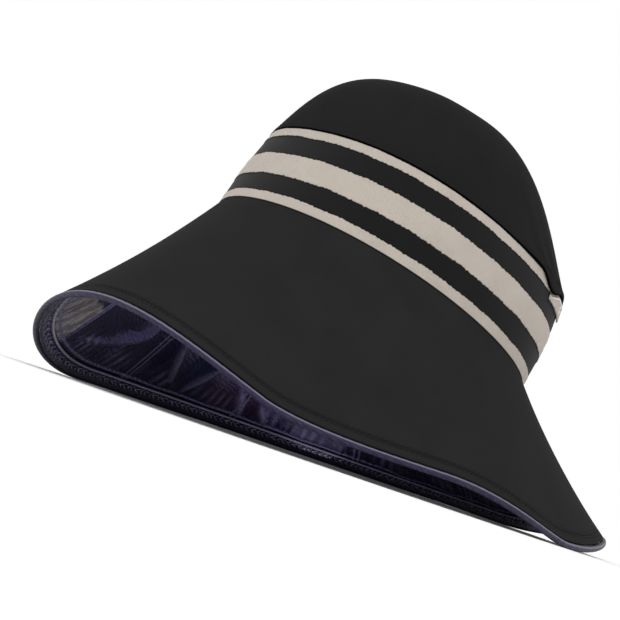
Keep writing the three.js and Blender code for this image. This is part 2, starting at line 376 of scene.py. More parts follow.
def store(piece, name, values):
    """Stores a number at each vertex of a piece, for its material."""
    layer = piece.data.attributes.new(name, "FLOAT", "POINT")
    layer.data.foreach_set("value", closed(values).astype(np.float32).ravel())
    return piece


def finish_piece(piece, node, finish):
    """The piece stands for its CAD node, rides on the one body and takes its finish."""
    piece.data.materials.append(finish)
    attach(piece, "root")
    if node:
        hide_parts(node)


def angles_round(columns):
    """Angles of a ring that starts and ends at the back."""
    return math.pi + np.arange(columns + 1) * TURN / columns


CONE_SHRINK = 0.69
CONE_RADIUS = 134


def cone_uv(angle, distance):
    """Flat cut of a cone of cloth: polar coordinates whose angle is shrunk by the cone's slope."""
    spread = CONE_SHRINK * turn_from(angle, 0)
    spread = np.where(np.isclose(angle, math.pi + TURN), CONE_SHRINK * math.pi, spread)
    radius = CONE_RADIUS + distance
    return np.stack([radius * np.sin(spread), -radius * np.cos(spread)], -1)


# Materials
def operator(operation, swapped=False):
    """Method that adds one Math node on a value and what follows it, or precedes it if swapped."""

    def method(value, *others):
        operands = (*others, value) if swapped else (value, *others)
        return value.finish.node("ShaderNodeMath", {"operation": operation}, dict(enumerate(operands)))

    return method


class Value:
    """A number socket of a finish, on which Python's operators add Math nodes."""

    def __init__(self, finish, socket):
        self.finish = finish
        self.socket = socket

    __add__ = operator("ADD")
    __radd__ = operator("ADD", swapped=True)
    __sub__ = operator("SUBTRACT")
    __rsub__ = operator("SUBTRACT", swapped=True)
    __mul__ = operator("MULTIPLY")
    __rmul__ = operator("MULTIPLY", swapped=True)
    __truediv__ = operator("DIVIDE")
    __abs__ = operator("ABSOLUTE")
    cosine = operator("COSINE")
    fraction = operator("FRACT")
    root = operator("SQRT")
    larger = operator("MAXIMUM")


class Finish:
    """A procedural material whose nodes all come from one method."""

    def __init__(self, name):
        self.material = bpy.data.materials.new(name)
        self.material.use_nodes = True
        self.tree = self.material.node_tree
        self.tree.nodes.clear()

    def node(self, kind, settings=None, inputs=None, output=0):
        """Adds a node: its settings first, then its sockets' values or links; gives one output, if any."""
        made = self.tree.nodes.new(kind)
        for name, value in (settings or {}).items():
            setattr(made, name, value)
        for name, value in (inputs or {}).items():
            if isinstance(value, Value):
                self.tree.links.new(value.socket, made.inputs[name])
            else:
                made.inputs[name].default_value = value
        return Value(self, made.outputs[output]) if made.outputs else None

    def across(self):
        """Place on the flat cloth: two numbers, in millimetres."""
        uv = self.node("ShaderNodeUVMap", {"uv_map": "cloth"})
        return [self.node("ShaderNodeSeparateXYZ", inputs={0: uv}, output=k) for k in (0, 1)]

    def stored(self, name):
        """A number stored at the mesh's vertices, zero without it."""
        return self.node("ShaderNodeAttribute", {"attribute_name": name}, output=2)

    def noise(self, size, detail=2.0, roughness=0.5):
        """Noise in space whose features are of a size in millimetres."""
        place = self.node("ShaderNodeTexCoord", output="Object")
        inputs = {"Vector": place, "Scale": 1 / (size * MM), "Detail": detail, "Roughness": roughness}
        return self.node("ShaderNodeTexNoise", inputs=inputs)

    def blend(self, factor, first, second):
        """Colour between two colours."""
        return self.node("ShaderNodeMix", {"data_type": "RGBA"}, {0: factor, 6: first, 7: second}, 2)

    def step(self, value, low, high):
        """Smooth step from zero at low to one at high."""
        settings = {"interpolation_type": "SMOOTHSTEP"}
        return self.node("ShaderNodeMapRange", settings, {0: value, 1: low, 2: high})

    def surface(self, colour, roughness, gloss, height, bump, more=None):
        """Principled surface with a bump of a size in millimetres."""
        relief = {"Height": height, "Distance": bump * MM, "Strength": 1.0}
        normal = self.node("ShaderNodeBump", inputs=relief)
        inputs = {"Base Color": colour, "Roughness": roughness, "Specular IOR Level": gloss, **(more or {})}
        shader = self.node("ShaderNodeBsdfPrincipled", inputs={**inputs, "Normal": normal})
        self.node("ShaderNodeOutputMaterial", inputs={"Surface": shader})
        return self.material


def grey(level):
    """Grey colour."""
    return (level, level, level, 1.0)


BLACK = (0.0006, 0.0006, 0.0008, 1.0)
PAINTED_SHADE_BROWN = (0.006, 0.0045, 0.004, 1.0)
WEAVE = {"pitch": 0.55, "gloss": 0.03, "bump": 0.035}
KNIT = {"wale": 0.9, "course": 1.1}
LEG_SLANT = 1.2
RIM_STRAY = 8
RIM_FADE = 4
STRANDS = (3.0, 1.5)
STRAND_GLOSS = 0.3
STRAND_BUMP = 0.05


def woven(name, dark, light, pitch, gloss, bump, shade_beyond):
    """Plain weave, slightly uneven, with painted shade in near-black where the mesh stores it, and a painted
    shadow line beyond a radius.
    """
    finish = Finish(name)
    u, v = finish.across()
    warp = (u * (TURN / pitch)).cosine()
    weft = (v * (TURN / pitch)).cosine()
    weave = warp * weft * 0.5 + 0.5
    slow = finish.noise(size=28, detail=3.0)
    fibre = finish.noise(size=0.9, roughness=0.7)
    tone = finish.step(weave * 0.22 + slow * 0.55 + fibre * 0.3, 0.25, 0.85)
    radius = (u * u + v * v).root()
    # Painted shadow: near-black beyond a radius, the shadow line under the cap's overhanging lower edge
    rim = finish.step(radius + fibre * RIM_STRAY, shade_beyond, shade_beyond + RIM_FADE)
    # Painted shade stored on the mesh, around the brim's topstitching grooves, joins the painted shadow line
    sewing_and_painted_shade = rim.larger(finish.stored("sewing_and_painted_shade"))
    colour = finish.blend(sewing_and_painted_shade, finish.blend(tone, dark, light), BLACK)
    return finish.surface(colour, 0.8 + slow * 0.14, gloss, weave + fibre * 0.8, bump)


def knitted(name, dark, light, wale, course, gloss, bump):
    """Knit: columns of loops with slanting legs and fibres, with brown painted shade where the mesh stores
    it.
    """
    finish = Finish(name)
    u, v = finish.across()
    column = (u / wale).fraction()
    slant = abs(column - 0.5)
    loops = ((v / course + slant * LEG_SLANT) * TURN).cosine() * 0.5 + 0.5
    rib = 1 - (column - 0.5) * (column - 0.5) * 4
    slow = finish.noise(size=16, detail=3.0)
    fibre = finish.noise(size=0.8, detail=3.0, roughness=0.75)
    tone = finish.step(rib * 0.25 + loops * 0.15 + slow * 0.3 + fibre * 0.8, 0.4, 1.15)
    # Painted shade: brown where the mesh stores it, along the stripes' edges
    sewing_and_painted_shade = finish.stored("sewing_and_painted_shade")
    colour = finish.blend(sewing_and_painted_shade, finish.blend(tone, dark, light), PAINTED_SHADE_BROWN)
    height = rib * 0.7 + loops * 0.4 + fibre * 0.9
    return finish.surface(colour, 0.86 + slow * 0.1, gloss, height, bump, {"Sheen Weight": 0.08})


def thread(name, dark, light):
    """Twisted sewing thread: slanting strands along its own length."""
    finish = Finish(name)
    u, v = finish.across()
    strand = ((u * STRANDS[0] + v * STRANDS[1]) * TURN).cosine() * 0.5 + 0.5
    colour = finish.blend(strand, dark, light)
    return finish.surface(colour, 0.6 + strand * 0.1, STRAND_GLOSS, strand, STRAND_BUMP)


# One charcoal cloth in two copies: the cap's is darker than the brim's, painted shade and light that even out
# how the light falls on them
CHARCOAL = woven("charcoal_cloth", grey(0.0152), grey(0.0206), shade_beyond=400, **WEAVE)
# The cap's cloth turns near-black past radius 222, a painted shadow line under its overhang; 400 lies past
# the brim's cloth, so the brim gets none.
CAP_CLOTH = woven("cap_cloth", grey(0.0112), grey(0.0158), shade_beyond=222, **WEAVE)
BAND_DARK = knitted("dark_band_knit", grey(0.0055), grey(0.0095), gloss=0.09, bump=0.05, **KNIT)
STRIPE_SHADE = (0.35, 0.31, 0.27, 1)
STRIPE_PALE = (0.50, 0.45, 0.40, 1)
PALE = knitted("pale_stripe_knit", STRIPE_SHADE, STRIPE_PALE, gloss=0.12, bump=0.1, **KNIT)
DARK_THREAD = thread("dark_thread", grey(0.007), grey(0.014))
PALE_THREAD = thread("pale_thread", (0.7, 0.68, 0.65, 1), (0.95, 0.94, 0.92, 1))


# Lining panels: angles in the UV's millimetres, and the painted reflection on the one by the front left
PANELS = 12
PANEL_START = math.radians(10)
LINING_GIRTH = 900.0
LINING_DEEP = 95.0
PANEL_PITCH = LINING_GIRTH / PANELS
PANEL_OFFSET = ((PANEL_START - math.pi) / TURN * LINING_GIRTH) % PANEL_PITCH
PANEL_TOP = 0.64
PANEL_FLARE = 0.0049
LAVENDER = (0.42, 0.36, 1.0, 1.0)
WINE = (0.016, 0.005, 0.013, 1.0)
SEA_BLUE = (0.005, 0.009, 0.026, 1.0)
REFLECTION_TAUPE = (0.09, 0.078, 0.07, 1.0)
PALE_REFLECTION_TAUPE = (0.2, 0.18, 0.165, 1.0)
RIDGE_HIGHLIGHT = (0.075, 0.068, 0.12, 1.0)
HEM_HIGHLIGHT = (0.27, 0.25, 0.34, 1.0)
ROLL_DARK = (0.022, 0.018, 0.034, 1.0)
ROLL_LIGHT = (0.045, 0.038, 0.062, 1.0)
ROLL_HIGHLIGHT = (0.15, 0.14, 0.18, 1.0)
INDIGO = (0.0012, 0.0009, 0.0032, 1.0)
VIOLET = (0.0072, 0.0052, 0.020, 1.0)
CREST_HIGHLIGHT = (0.085, 0.078, 0.14, 1.0)

# Tinted patches of the lining: how strong, colour, angle, distance down, breadth and height
TINTED_PATCHES = ((0.8, WINE, 254, 76, 26, 34), (0.6, SEA_BLUE, 265, 62, 20, 24))

# Sewn lines and puckers on the cloth, in its UV's millimetres
REFLECTION_PANEL = 310
REFLECTION_TOP = 73
SEAM_LINE = 1.6
LINE_HALF = 0.4
HEM_LINE = 2.2
SEAM_PUCKER = 4.1
HEM_PUCKER = 3.6
ZIGZAG_MIDDLE = 5.8
ZIGZAG_PITCH = 3.4
HEM_TOP = 9.2
ROLL_SHOULDER = 1.2
ROLL_MEETING = 2.7
THREAD_PITCH = 0.9
CREPE_PITCH = 2.6
CREPE_WANDER = 16


def satin(name, dark, light, rough, shine, tints_and_painted_light, sewing, bump):
    """Glossy cloth: threads, grain, crepe, crush marks, changes of colour with painted highlights, reflection
    and shade, and sewing.
    """
    finish = Finish(name)
    u, v = finish.across()
    threads = ((u + v * 0.6) * (TURN / THREAD_PITCH)).cosine() * 0.5 + 0.5
    crush = finish.noise(size=5, detail=4.0, roughness=0.6)
    grain = finish.noise(size=1.1, roughness=0.7)
    slow = finish.noise(size=30)
    slant = (u * 0.45 + v * 0.9) * (TURN / CREPE_PITCH)
    crepe = (slant + finish.noise(size=6, detail=3.0) * CREPE_WANDER).cosine() * 0.5 + 0.5
    tone = finish.step(slow * 0.4 + crush * 0.4 + grain * 0.5 + crepe * 0.35, 0.6, 1.25)
    colour = tints_and_painted_light(finish, u, v, finish.blend(tone, dark, light))
    height = sewing(finish, u, v) + threads * 0.03 + crush * 0.5 + grain * 0.35 + crepe * 0.22
    return finish.surface(colour, rough + crush * 0.16, shine, height, bump, {"Specular Tint": LAVENDER})


def lining_u(degrees):
    """UV place, in millimetres, of an angle round the hat."""
    return (degrees - 180) / 360 * LINING_GIRTH


def patch_of(finish, u, v, degrees, deep, breadth, height):
    """Factor of a soft-edged patch of colour on the lining."""
    across = abs(u - lining_u(degrees)) / breadth
    down = abs(v - deep) / height
    ragged = finish.noise(size=13, detail=3.0) * 0.9
    return 1 - finish.step(across + down + ragged, 1.0, 1.6)


def seam_distance(u, v):
    """Distance on the cloth from the nearest panel seam."""
    panel = ((u - PANEL_OFFSET) / PANEL_PITCH).fraction()
    widening = v * PANEL_FLARE + PANEL_TOP
    return (0.5 - abs(panel - 0.5)) * PANEL_PITCH * widening


def lining_tints_and_painted_light(finish, u, v, colour):
    """Wine and blue tints, a painted reflection in streaked taupe on part of one panel, and painted
    highlights on ridges and folds.
    """
    for factor, tint, *place in TINTED_PATCHES:
        colour = finish.blend(patch_of(finish, u, v, *place) * factor, colour, tint)
    # Painted reflection: a streaked pale taupe patch on part of the panel by the front left, as the glossy
    # lining reflects the light
    first = lining_u(REFLECTION_PANEL)
    last = first + PANEL_PITCH
    inside = finish.step(u, first + 0.5, first + 1.5) * (1 - finish.step(u, last - 3, last))
    deep = finish.step(v + finish.noise(size=9) * 8, REFLECTION_TOP, REFLECTION_TOP + 3)
    bent = finish.noise(size=16, detail=3.0) * 14
    fleck = finish.noise(size=6)
    streak = finish.step((u * 0.5 - v * 0.3 + bent).cosine() * 0.5 + fleck, 0.1, 1.2)
    colour = finish.blend(inside * deep * 0.9, colour, finish.blend(streak, REFLECTION_TAUPE, PALE_REFLECTION_TAUPE))
    # Painted highlight: paler lines along the panel seams' ridges and the hem's ridge
    by_seam = 1 - finish.step(abs(seam_distance(u, v) - SEAM_LINE), LINE_HALF, 1.0)
    by_hem = 1 - finish.step(abs(v - (LINING_DEEP - HEM_LINE)), LINE_HALF, 1.0)
    colour = finish.blend((by_seam * 0.8).larger(by_hem), colour, RIDGE_HIGHLIGHT)
    # Painted highlight: paler, mottled cloth on the crests of the folds
    mottle = finish.noise(size=2.5, detail=3.0) * 0.9 + 0.35
    return finish.blend(finish.stored("crest") * mottle, colour, CREST_HIGHLIGHT)


def lining_sewing(finish, u, v):
    """Puckers beside the panel seams and just above the hem."""
    by_seam = 1 - finish.step(seam_distance(u, v), 1.5, 6.0)
    wander = finish.noise(size=11) * 9
    along_seam = ((v / SEAM_PUCKER) * TURN + wander).cosine() * by_seam
    by_hem = finish.step(v, LINING_DEEP - 13, LINING_DEEP - 3)
    across_hem = ((u / HEM_PUCKER) * TURN + wander).cosine() * by_hem
    return along_seam * 0.22 + across_hem * 0.5


def zigzag(finish, u, v):
    """Puckers across the hem that slant to and fro between its two stitched lines."""
    wander = finish.noise(size=7) * 9
    crests = ((u + abs(v - ZIGZAG_MIDDLE) * 1.3) * (TURN / ZIGZAG_PITCH) + wander).cosine() + 1
    return crests * finish.step(v, 3.0, 4.2) * (1 - finish.step(v, 7.2, 8.2))


def hem_painted_highlights(finish, u, v, colour):
    """Painted highlights: paler cloth on the puckers' crests and on the rounded top edge."""
    crest = finish.step(zigzag(finish, u, v) * 0.5 + finish.noise(size=3) * 0.5, 0.98, 1.16)
    edge = 1 - finish.step(abs(v - HEM_TOP), LINE_HALF, 0.9)
    return finish.blend(crest.larger(edge) * 0.8, colour, HEM_HIGHLIGHT)


def roll_painted_light(finish, u, v, colour):
    """Painted highlight on the outer shoulder, painted shade in a dark line by the outer cloth and on the
    dark inner side.
    """
    # Painted shade: the inner and lower side turned to the lining's indigo
    inside = finish.step(v, 2.9, 3.6) * (1 - finish.step(v, 8.4, 9.6))
    colour = finish.blend(inside * 0.85, colour, INDIGO)
    # Painted highlight on the shoulder, and a near-black line of painted shade where the roll meets the outer
    # cloth
    shoulder = 1 - finish.step(abs(v - ROLL_SHOULDER), 0.2, 0.7)
    meeting = 1 - finish.step(abs(v - ROLL_MEETING), 0.7, 1.0)
    return finish.blend(meeting, finish.blend(shoulder, colour, ROLL_HIGHLIGHT), BLACK)


def roll_creases(finish, u, v):
    """Slight slanting creases of a rolled edge."""
    return ((u * 0.8 + v * 1.4) + finish.noise(size=12) * 6).cosine() * 0.3


GLOSSY = {"dark": INDIGO, "light": VIOLET, "rough": 0.2, "shine": 0.6}
SATIN_ROLL = {"dark": ROLL_DARK, "light": ROLL_LIGHT, "rough": 0.42, "shine": 0.25}
LINING = satin("glossy_lining_cloth", **GLOSSY, tints_and_painted_light=lining_tints_and_painted_light, sewing=lining_sewing, bump=0.45)
HEM = satin("glossy_hem_cloth", **GLOSSY, tints_and_painted_light=hem_painted_highlights, sewing=zigzag, bump=0.5)
ROLL = satin("rolled_edge_cloth", **SATIN_ROLL, tints_and_painted_light=roll_painted_light, sewing=roll_creases, bump=0.2)
LINING_THREAD = thread("lining_thread", (0.03, 0.03, 0.06, 1), (0.12, 0.11, 0.2, 1))


# Crown cap: rings from the pole to the rounded edge and back inside
CAP_COLUMNS = 360
CAP_SPREAD = 118
EDGE_DROP = 0.7
EDGE_RISE = 0.4


def crown_cap():
    """Rings down the dome and skirt, half round the edge, and back up inside, less a depth that grows."""
    sweeps = joined(np.linspace(0.985, 0.9, 14), np.linspace(0.89, 0.0, 64))
    skirt = np.linspace(-0.12, -1, 8)
    bend = np.linspace(0, math.pi, 9)
    inside = joined(skirt[::-1][:-1:2], sweeps[::-3])
    along = joined(sweeps, skirt, 0 * bend - 1, inside)
    roundness = joined(0 * sweeps, 0 * skirt, bend, 0 * inside + math.pi)
    drop = joined(0 * sweeps, 0 * skirt, EDGE_DROP * np.sin(bend) - EDGE_RISE, 0 * inside)
    depth = CAP_WALL / 2 * (1 - np.cos(roundness))
    angle = angles_round(CAP_COLUMNS)
    a, s = np.meshgrid(angle, along)
    points = cap_point(a, s, depth[:, None], drop[:, None])
    top = crown_to_hat(0.0, section_at(BACKSET, DOME_START) - DOME_LEAN, CROWN_HEIGHT)
    axis = crown_to_hat(0.0, 0.0, 1.0) - crown_to_hat(0.0, 0.0, 0.0)
    poles = np.stack([top + axis * CAP_PROUD, top + axis * (CAP_PROUD - CAP_WALL)])
    reach = (1 - s) * CAP_SPREAD
    uv = np.stack([reach * np.sin(a), -reach * np.cos(a)], -1)
    return dome_shell("crown_cloth", closed(points), uv, poles)


finish_piece(crown_cap(), "crown_cap", CAP_CLOTH)

# Band and stripes share the slight waviness of the edges between them
BAND_COLUMNS = 1080
BAND_GIRTH = 560.0
LAND_ROUND = 0.35
STRIPE_ROUND = 0.25
PAINTED_EDGE_SHADE = 0.45
JOIN_ROUND = 0.5
STRIPE_ROW = 0.6
STRIPE_SWELL = 0.12
STRIPE_UNEVEN = 0.08
CAP_CHANNEL = 46.0

# Waviness of the six edges from the seam up, and its coarse and fine parts: share, first seed, turns round
EDGE_WAVES = (0.0, 0.26, 0.3, 0.3, 0.26, 0.08)
COARSE_WAVE = (1.4, 20, (14, 23, 37, 58))
FINE_WAVE = (1.2, 30, (127, 193, 271))


def edge_wave(edge, angle):
    """Waviness of a stitched edge: coarse and fine uneven cosines round the band, times the edge's size."""
    share, seed, rounds = COARSE_WAVE
    fine_share, fine_seed, fine_rounds = FINE_WAVE
    coarse = drift(angle, 0, seed + edge, rounds, 0)
    fine = drift(angle, 0, fine_seed + edge, fine_rounds, 0, 0)
    return EDGE_WAVES[edge] * (share * coarse + fine_share * fine)


def wave_above(edge, angle, share):
    """Waviness between an edge and the next: each one's times how near it is."""
    return edge_wave(edge, angle) * (1 - share) + edge_wave(edge + 1, angle) * share


def girth_run(angle, girth):
    """Distance round from the back, out of that whole girth."""
    return (angle - math.pi) / TURN * girth


def band_uv(angle, height):
    """Distance round the band and up it."""
    return np.stack(np.broadcast_arrays(girth_run(angle, BAND_GIRTH), height), -1)


def stripe(name, edge):
    """A stripe's closed section carried round the band, with how near a place is to its edges stored as
    painted shade where it meets the band.
    """
    low, high = STRIPES[name]
    low += SIDE_GAP * (edge > 0)
    high -= SIDE_GAP
    face = end_shares(0.06, 0.08, int((high - low) / STRIPE_ROW), 4)
    dip = rounded(np.minimum(face, 1 - face) * (high - low), STRIPE_ROUND)
    t = joined(face, [1.0, 0.5, 0.0])[:, None]
    out = joined(STRIPE_PROUD + STRIPE_SWELL - dip, [-STRIPE_INNER] * 3)[:, None]
    angle = angles_round(BAND_COLUMNS)[None]
    heights = low + (high - low) * t + wave_above(edge, angle, t)
    a = angle + 0 * heights
    out = out + STRIPE_UNEVEN * drift(a, heights / 10, *STRIPE_DRIFT) * (out > 0)
    points = band_point(a, heights, out)
    # Painted shade: a thin dark line along each stripe's edges, where it meets the band
    sewing_and_painted_shade = 1 - np.minimum(heights - heights[:1], heights[-3] - heights) / PAINTED_EDGE_SHADE
    piece = ring_shell(name + "_knit", points, band_uv(a, heights))
    return store(piece, "sewing_and_painted_shade", np.clip(sewing_and_painted_shade, 0, 1))


for stripe_number, stripe_name in enumerate(STRIPES):
    finish_piece(stripe(stripe_name, 2 * stripe_number), stripe_name, PALE)


def band_wall():
    """The band's closed section: two lands between the stripes, channels behind them, plain inside."""
    angle = angles_round(BAND_COLUMNS)
    bottom, middle, top = STRIPES.values()
    foot = BAND_FOOT + FOOT_SWING * np.cos(angle)
    rows = []

    def row(height, out=-CHANNEL_DEPTH):
        rows.append((height + 0 * angle, out + 0 * angle))

    def land(lower, upper, edge):
        low = lower[1] + SIDE_GAP
        tall = upper[0] - SIDE_GAP - low
        t = end_shares(0.06, 0.1, 12)
        dip = rounded(np.minimum(t, 1 - t) * tall, LAND_ROUND)
        dip = joined([CHANNEL_DEPTH], dip, [CHANNEL_DEPTH])
        for share, sink in zip(joined([0], t, [1]), dip):
            row(low + tall * share + wave_above(edge, angle, share), -sink)

    row(foot)
    row(sum(bottom) / 2)
    land(bottom, middle, 1)
    row(sum(middle) / 2)
    land(middle, top, 3)
    row(CAP_CHANNEL)
    row(DOME_START)
    for height in np.linspace(DOME_START, foot, 9):
        row(height, -BAND_WALL)
    heights, out = (np.stack(part) for part in zip(*rows))
    a = angle[None] + 0 * heights
    return ring_shell("band_cloth", band_point(a, heights, out), band_uv(a, heights))


finish_piece(band_wall(), "band_wall", BAND_DARK)


# Rings of a stitch: places along it, widths there, and sides
STATIONS = np.array([-0.5, -0.36, 0.0, 0.36, 0.5])
STATION_WIDTHS = np.array([0.1, 0.8, 1.0, 0.8, 0.1])
SIDES = 6
PATH_SAMPLES = 2401
PATH_STEP = 0.002


def capsules(centre, along, up, length, thick, arch):
    """Stitches: six-sided rings carried along each one, thin at its ends and arched as a parabola."""
    width = STATION_WIDTHS * thick / 2
    corner = np.arange(SIDES) * TURN / SIDES
    side = unit(np.cross(along, up))
    lift = arch * (1 - (2 * STATIONS) ** 2)
    middle = centre[:, None] + along[:, None] * (STATIONS * length)[:, None]
    middle = middle + up[:, None] * lift[:, None]
    across = side[:, None, None] * np.outer(width, np.cos(corner))[..., None]
    above = up[:, None, None] * np.outer(width, np.sin(corner))[..., None]
    points = middle[:, :, None] + across + above
    count = len(centre)
    r, c = ring_corners(len(STATIONS), SIDES, 0)
    first_end = np.array([[3, 2, 1, 0], [5, 4, 3, 0]])
    last_end = np.array([[0, 1, 2, 3], [0, 3, 4, 5]]) + (len(STATIONS) - 1) * SIDES
    one = joined(r * SIDES + c % SIDES, first_end, last_end)
    quads = (one[None] + len(STATIONS) * SIDES * np.arange(count)[:, None, None]).reshape(-1, 4)
    u = STATIONS[:, None] * length + 0 * corner
    v = corner[None] * thick / 2 + 0 * u
    uv = np.stack([u, v], -1).reshape(-1, 2)
    return points.reshape(-1, 3), quads, np.tile(uv[one], (count, 1, 1))


def evenly(path, pitch, start, end):
    """Angles at equal distances along a path."""
    angle = np.linspace(start, end, PATH_SAMPLES)
    points = path(angle)
    run = joined([0], np.cumsum(np.linalg.norm(np.diff(points, axis=0), axis=1)))
    count = int(run[-1] / pitch)
    return np.interp((np.arange(count) + 0.5) * run[-1] / count, run, angle)


def stitches(name, lines, pitch, length, thick, arch):
    """Stitches in one mesh along lines, each a path, its cloth's outward side, a start and an end."""
    parts = []
    for path, up_of, start, end in lines:
        place = evenly(path, pitch, start, end)
        along = unit(path(place + PATH_STEP) - path(place - PATH_STEP))
        parts.append(capsules(path(place), along, up_of(place), length, thick, arch))
    offsets = np.cumsum([0] + [len(part[0]) for part in parts[:-1]])
    points = np.concatenate([part[0] for part in parts])
    quads = np.concatenate([part[1] + offset for part, offset in zip(parts, offsets)])
    return put_mesh(name, points, quads, np.concatenate([part[2] for part in parts]))


# Short lapped end of the top stripe, under the cap's edge, with its pale stitches
JOIN_START = math.radians(JOIN["start"])
JOIN_END = math.radians(JOIN["end"])
JOIN_FACE = STRIPE_PROUD + JOIN["gap"] + JOIN["wall"]
JOIN_LENGTH = 33.0
JOIN_SEAM = math.radians(124)
JOIN_THIN = 0.2
JOIN_WAVE = 0.18
JOIN_TOP_STITCH = 0.84
JOIN_MARGIN = 0.03


def join_height(angle, share):
    """Height at a share of the way from the join's low edge to its top, which keeps below the cap's edge."""
    top = np.minimum(JOIN["high"], cap_edge(angle) - JOIN["below"])
    return JOIN["low"] + (top - JOIN["low"]) * share


def band_join():
    """Strip with rounded edges and ends: a closed section carried along it, to a pole at either end."""
    t = end_shares(0.1, 0.2, 7)
    place = end_shares(0.05, 0.1, 24)
    angle = JOIN_START + (JOIN_END - JOIN_START) * place
    a, share = np.meshgrid(angle, joined(t, [1.0, 0.0]), indexing="ij")
    tall = join_height(a, 1.0) - JOIN["low"]
    dip = rounded(np.minimum(share, 1 - share) * tall, JOIN_ROUND)
    ends = rounded(np.minimum(place, 1 - place)[:, None] * JOIN_LENGTH, JOIN_ROUND)
    inner = STRIPE_PROUD + JOIN["gap"]
    face = np.maximum(JOIN_FACE - dip - ends, inner + JOIN_THIN)
    out = np.where(np.arange(len(t) + 2) < len(t), face, inner)
    wave = JOIN_WAVE * drift(a, 0 * a, *JOIN_DRIFT) * (1 - share)
    heights = join_height(a, share) + wave
    points = band_point(a, heights, out)
    uv = band_uv(a, heights)
    uv = np.concatenate([uv, uv[:, :1]], axis=1)
    return dome_shell("band_join_knit", points, uv, points[[0, -1]].mean(axis=1))


def band_up(angle, height):
    """Outward direction of the band."""
    return unit(band_point(angle, height, 1.0) - band_point(angle, height, 0.0))


finish_piece(band_join(), "band_join", PALE)

# One line of stitches below the join's top edge and one up across it: path, outward side, start and end
join_lines = [
    (
        lambda angle: band_point(angle, join_height(angle, JOIN_TOP_STITCH), JOIN_FACE),
        lambda angle: band_up(angle, JOIN["high"]),
        JOIN_START + JOIN_MARGIN,
        JOIN_END - JOIN_MARGIN,
    ),
    (
        lambda height: band_point(JOIN_SEAM + 0 * height, height, JOIN_FACE),
        lambda height: band_up(JOIN_SEAM + 0 * height, height),
        JOIN["low"] + 0.8,
        JOIN["high"] - 2.2,
    ),
]
join_stitching = stitches("join_stitching", join_lines, pitch=2.4, length=2.1, thick=0.75, arch=0.2)
finish_piece(join_stitching, None, PALE_THREAD)


# Brim: fine rows near the edge carry the two lines of topstitching
BRIM_COLUMNS = 600
HEM_ZONE = 13.0
GROOVE_SHADE_MIDDLE = 7.5
GROOVE_SHADE_REACH = 1.2
PAINTED_GROOVE_SHADE = 0.32
GROOVE_BREADTH = 0.42
GROOVE_DEPTH = 0.42
PUCKER_HEIGHT = 0.07
PUCKER_TURNS = 205
PUCKER_WANDER = 2.5
BRIM_WAVE = 0.5
CUT_ROUND = 0.4
BRIM_CUT = BRIM_END + CUT_ROUND
BRIM_SLOPE = 98
STITCH_SINK = 0.22


def ridge_at(away, middle, breadth):
    """Ridge of a height of one: a bell curve of the distance from its middle."""
    return np.exp(-(((away - middle) / breadth) ** 2))


def brim_relief(angle, away):
    """Slow waves and puckers, cosines under humps, less bell curves for the grooves of the topstitching."""
    groove = sum(ridge_at(away, line, GROOVE_BREADTH) for line in TOPSTITCH)
    phase = PUCKER_TURNS * angle + PUCKER_WANDER * drift(angle, 0, *PUCKER_DRIFT)
    pucker = PUCKER_HEIGHT * np.cos(phase) * hump((away - 7.2) / 7)
    slow = BRIM_WAVE * drift(angle, away / 90, *BRIM_DRIFT) * hump((away - 50) / 50)
    return slow + pucker - GROOVE_DEPTH * groove


def brim_cloth():
    """Rows down the slope, close together by the stitching, round the cut edge and back up inside."""
    shares = joined([0.0, 0.004, 0.01], np.linspace(0.02, 1, 38))
    shorts = np.linspace(HEM_ZONE, BRIM_CUT, 46)[1:]
    bend = np.linspace(0.15, math.pi - 0.15, 6)
    back = np.linspace(1, 0, 12)
    share = joined(shares, np.ones(len(shorts) + len(bend)), back)
    turned_short = BRIM_CUT - CUT_ROUND * np.sin(bend)
    short = joined(0 * shares + HEM_ZONE, shorts, turned_short, 0 * back + BRIM_CUT)
    turned = CLOTH_WALL / 2 * (1 - np.cos(bend))
    depth = joined(0 * shares, 0 * shorts, turned, CLOTH_WALL + 0 * back)
    depth[:3] += (0.2, 0.07, 0.02)
    angle = angles_round(BRIM_COLUMNS)
    a, s = np.meshgrid(angle, share)
    d = short[:, None] + 0 * a
    away = brim_away(a, s, d)
    outer_face = (np.arange(len(share)) < len(shares) + len(shorts))[:, None]
    relief = brim_relief(a, away) * outer_face
    points = brim_point(a, s, d, depth[:, None] - relief)
    uv = cone_uv(a, BRIM_SLOPE - away)
    # Painted shade: the cloth is darkened towards black around the two topstitching grooves
    sewing_and_painted_shade = PAINTED_GROOVE_SHADE * ridge_at(away, GROOVE_SHADE_MIDDLE, GROOVE_SHADE_REACH) * outer_face
    return store(ring_shell("brim_cloth", points, uv), "sewing_and_painted_shade", sewing_and_painted_shade)


finish_piece(brim_cloth(), "brim_outer", CHARCOAL)


def brim_up(angle):
    """Outward direction of the brim's outer cloth."""
    return brim_run(angle)[2]


def brim_line(away, depth):
    """Path round the brim at a distance from its foot and a depth under its outer face."""
    return lambda angle: brim_point(angle, 1 + 0 * angle, away, depth + 0 * angle)


def brim_lines(depth, up):
    """Both lines of stitches round the brim."""
    return [(brim_line(away, depth), up, 0, TURN) for away in TOPSTITCH]


top_lines = brim_lines(STITCH_SINK, brim_up)
topstitching = stitches("brim_topstitching", top_lines, pitch=2.9, length=2.3, thick=0.42, arch=0.14)
finish_piece(topstitching, None, DARK_THREAD)

